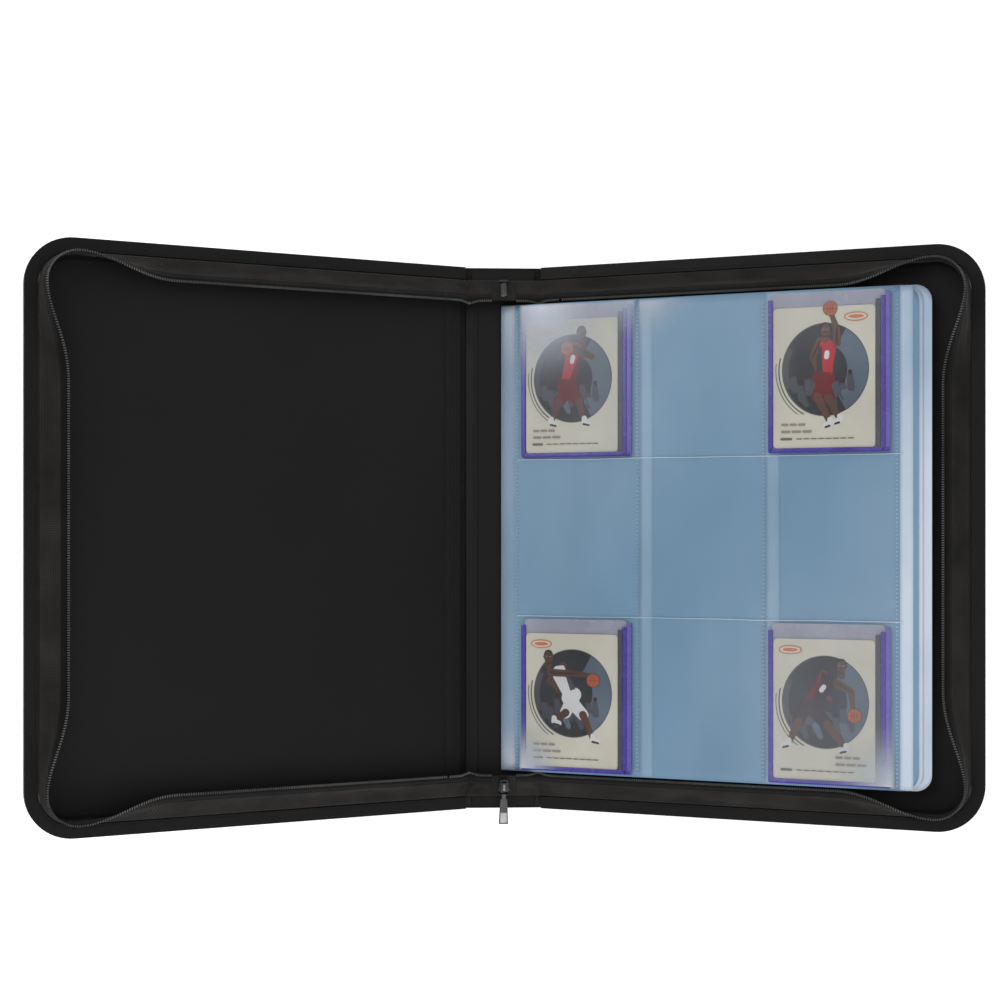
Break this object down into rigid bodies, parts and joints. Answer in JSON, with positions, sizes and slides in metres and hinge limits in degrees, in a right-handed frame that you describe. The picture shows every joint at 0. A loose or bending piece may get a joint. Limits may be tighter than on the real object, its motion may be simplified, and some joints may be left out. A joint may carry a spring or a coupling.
{
  "type": "trading card binder",
  "caption": "Zip-around soft-cover binder, open, with hinged covers, a leaning zip gusset, nine-pocket page sheets and coloured-edge toploaders holding cards.",
  "frame": {"origin": "middle of the back cover's outer face", "axes": "+X from the spine to the back cover's fore-edge, +Y to the head, +Z out of the back cover's inside"},
  "size_m": [0.5472, 0.3774, 0.2322],
  "materials": {
    "cover_fabric": "fine pebbled black leatherette",
    "cover_board": "grey-brown board, hidden under the skin",
    "lining_fabric": "smooth black lining with a faint sheen",
    "gusset_fabric": "black woven gusset cloth",
    "zip_tape": "black woven zip tape",
    "zip_coil": "dark nylon coil teeth",
    "zip_metal": "black enamelled metal",
    "page_sheet": "translucent pale steel-blue film",
    "pocket_film": "thin clear glossy film",
    "toploader_plastic": "rigid clear sleeve with purple rails",
    "card_stock": "satin printed card"
  },
  "bodies": {
    "back_cover": {"back_outer_skin": "cover_fabric", "back_board": "cover_board", "back_lining": "lining_fabric", "back_rim": "cover_fabric", "back_gusset": "gusset_fabric", "back_zip_tape": "zip_tape", "back_zip_coil": "zip_coil"},
    "spine": {"spine_outer_skin": "cover_fabric", "spine_board": "cover_board", "spine_lining": "lining_fabric", "spine_end_gusset_tail": "gusset_fabric", "spine_end_gusset_head": "gusset_fabric", "zip_chain_tail": "zip_coil", "zip_chain_head": "zip_coil", "zip_stop_tail": "zip_metal", "zip_stop_head": "zip_metal"},
    "front_cover": {"front_outer_skin": "cover_fabric", "front_board": "cover_board", "front_lining": "lining_fabric", "front_rim": "cover_fabric", "front_gusset": "gusset_fabric", "front_zip_tape": "zip_tape", "front_zip_coil": "zip_coil"},
    "page_binding": {"page_binding_strip": "cover_fabric"},
    "zip_slider": {"zip_slider": "zip_metal"},
    "zip_pull_tab": {"zip_pull_tab": "zip_metal"},
    "page_01": {"page_01_sheet": "page_sheet", "page_01_pocket_1": "pocket_film", "page_01_pocket_2": "pocket_film", "page_01_pocket_3": "pocket_film", "page_01_pocket_4": "pocket_film", "page_01_pocket_5": "pocket_film", "page_01_pocket_6": "pocket_film", "page_01_pocket_7": "pocket_film", "page_01_pocket_8": "pocket_film", "page_01_pocket_9": "pocket_film"},
    "page_02": {"page_02_sheet": "page_sheet"},
    "page_03": {"page_03_sheet": "page_sheet"},
    "page_04": {"page_04_sheet": "page_sheet"},
    "page_05": {"page_05_sheet": "page_sheet"},
    "page_06": {"page_06_sheet": "page_sheet"},
    "page_07": {"page_07_sheet": "page_sheet"},
    "page_08": {"page_08_sheet": "page_sheet"},
    "page_09": {"page_09_sheet": "page_sheet"},
    "page_10": {"page_10_sheet": "page_sheet"},
    "toploader_1": {"toploader_1": "toploader_plastic"},
    "toploader_2": {"toploader_2": "toploader_plastic"},
    "toploader_3": {"toploader_3": "toploader_plastic", "card_3": "card_stock"},
    "toploader_4": {"toploader_4": "toploader_plastic", "card_4": "card_stock"},
    "card_1": {"card_1": "card_stock"},
    "card_2": {"card_2": "card_stock"}
  },
  "joints": [
    {"name": "spine_hinge", "type": "hinge", "parent": "back_cover", "child": "spine", "pos_m": [-0.145, 0, 0.0005], "axis": [0, -1, 0], "range_deg": [-68, 0], "deforming": ["back_gusset", "back_zip_tape", "back_zip_coil"]},
    {"name": "front_cover_hinge", "type": "hinge", "parent": "spine", "child": "front_cover", "pos_m": [-0.19321, 0, 0.01998], "axis": [0, -1, 0], "range_deg": [-68, 0], "deforming": ["front_gusset", "front_zip_tape", "front_zip_coil"]},
    {"name": "page_binding_hinge", "type": "hinge", "parent": "spine", "child": "page_binding", "pos_m": [-0.16926, 0, 0.01521], "axis": [0, -1, 0], "range_deg": [0, 68]},
    {"name": "page_turn", "type": "hinge", "parent": "page_binding", "child": "page_01", "pos_m": [-0.16828, 0, 0.0163], "axis": [0, -1, 0], "range_deg": [0, 135]},
    {"name": "page_02_turn", "type": "hinge", "parent": "page_binding", "child": "page_02", "pos_m": [-0.16633, 0, 0.01551], "axis": [0, -1, 0], "range_deg": [0, 135]},
    {"name": "page_03_turn", "type": "hinge", "parent": "page_binding", "child": "page_03", "pos_m": [-0.16438, 0, 0.01472], "axis": [0, -1, 0], "range_deg": [0, 135]},
    {"name": "page_04_turn", "type": "hinge", "parent": "page_binding", "child": "page_04", "pos_m": [-0.16244, 0, 0.01393], "axis": [0, -1, 0], "range_deg": [0, 135]},
    {"name": "page_05_turn", "type": "hinge", "parent": "page_binding", "child": "page_05", "pos_m": [-0.16049, 0, 0.01315], "axis": [0, -1, 0], "range_deg": [0, 135]},
    {"name": "page_06_turn", "type": "hinge", "parent": "page_binding", "child": "page_06", "pos_m": [-0.15854, 0, 0.01236], "axis": [0, -1, 0], "range_deg": [0, 135]},
    {"name": "page_07_turn", "type": "hinge", "parent": "page_binding", "child": "page_07", "pos_m": [-0.1566, 0, 0.01158], "axis": [0, -1, 0], "range_deg": [0, 135]},
    {"name": "page_08_turn", "type": "hinge", "parent": "page_binding", "child": "page_08", "pos_m": [-0.15465, 0, 0.01079], "axis": [0, -1, 0], "range_deg": [0, 135]},
    {"name": "page_09_turn", "type": "hinge", "parent": "page_binding", "child": "page_09", "pos_m": [-0.1527, 0, 0.01], "axis": [0, -1, 0], "range_deg": [0, 135]},
    {"name": "page_10_turn", "type": "hinge", "parent": "page_binding", "child": "page_10", "pos_m": [-0.15075, 0, 0.00921], "axis": [0, -1, 0], "range_deg": [0, 135]},
    {"name": "toploader_1_slide", "type": "slide", "parent": "page_01", "child": "toploader_1", "axis": [0, 1, 0], "range_m": [0, 0.1]},
    {"name": "toploader_2_slide", "type": "slide", "parent": "page_01", "child": "toploader_2", "axis": [0, 1, 0], "range_m": [0, 0.1]},
    {"name": "toploader_3_slide", "type": "slide", "parent": "page_01", "child": "toploader_3", "axis": [0, 1, 0], "range_m": [0, 0.1]},
    {"name": "toploader_4_slide", "type": "slide", "parent": "page_01", "child": "toploader_4", "axis": [0, 1, 0], "range_m": [0, 0.1]},
    {"name": "card_1_slide", "type": "slide", "parent": "toploader_1", "child": "card_1", "axis": [0, 1, 0], "range_m": [0, 0.085]},
    {"name": "card_2_slide", "type": "slide", "parent": "toploader_2", "child": "card_2", "axis": [0, 1, 0], "range_m": [0, 0.085]},
    {"name": "zip_slider_slide", "type": "slide", "parent": "spine", "child": "zip_slider", "axis": [-0.2254, -0.7986, -0.558], "range_m": [0, 0.004]},
    {"name": "zip_pull_tab_hinge", "type": "hinge", "parent": "zip_slider", "child": "zip_pull_tab", "pos_m": [-0.16433, -0.1717, 0.02206], "axis": [-0.9272, 0, 0.3746], "range_deg": [0, 90]}
  ],
  "couplings": [
    {"joint": "page_binding_hinge", "follows": "spine_hinge", "ratio": -1},
    {"joint": "page_02_turn", "follows": "page_turn", "ratio": 0.915},
    {"joint": "page_03_turn", "follows": "page_turn", "ratio": 0.83},
    {"joint": "page_04_turn", "follows": "page_turn", "ratio": 0.745},
    {"joint": "page_05_turn", "follows": "page_turn", "ratio": 0.66},
    {"joint": "page_06_turn", "follows": "page_turn", "ratio": 0.575},
    {"joint": "page_07_turn", "follows": "page_turn", "ratio": 0.49},
    {"joint": "page_08_turn", "follows": "page_turn", "ratio": 0.405},
    {"joint": "page_09_turn", "follows": "page_turn", "ratio": 0.32},
    {"joint": "page_10_turn", "follows": "page_turn", "ratio": 0.235}
  ]
}
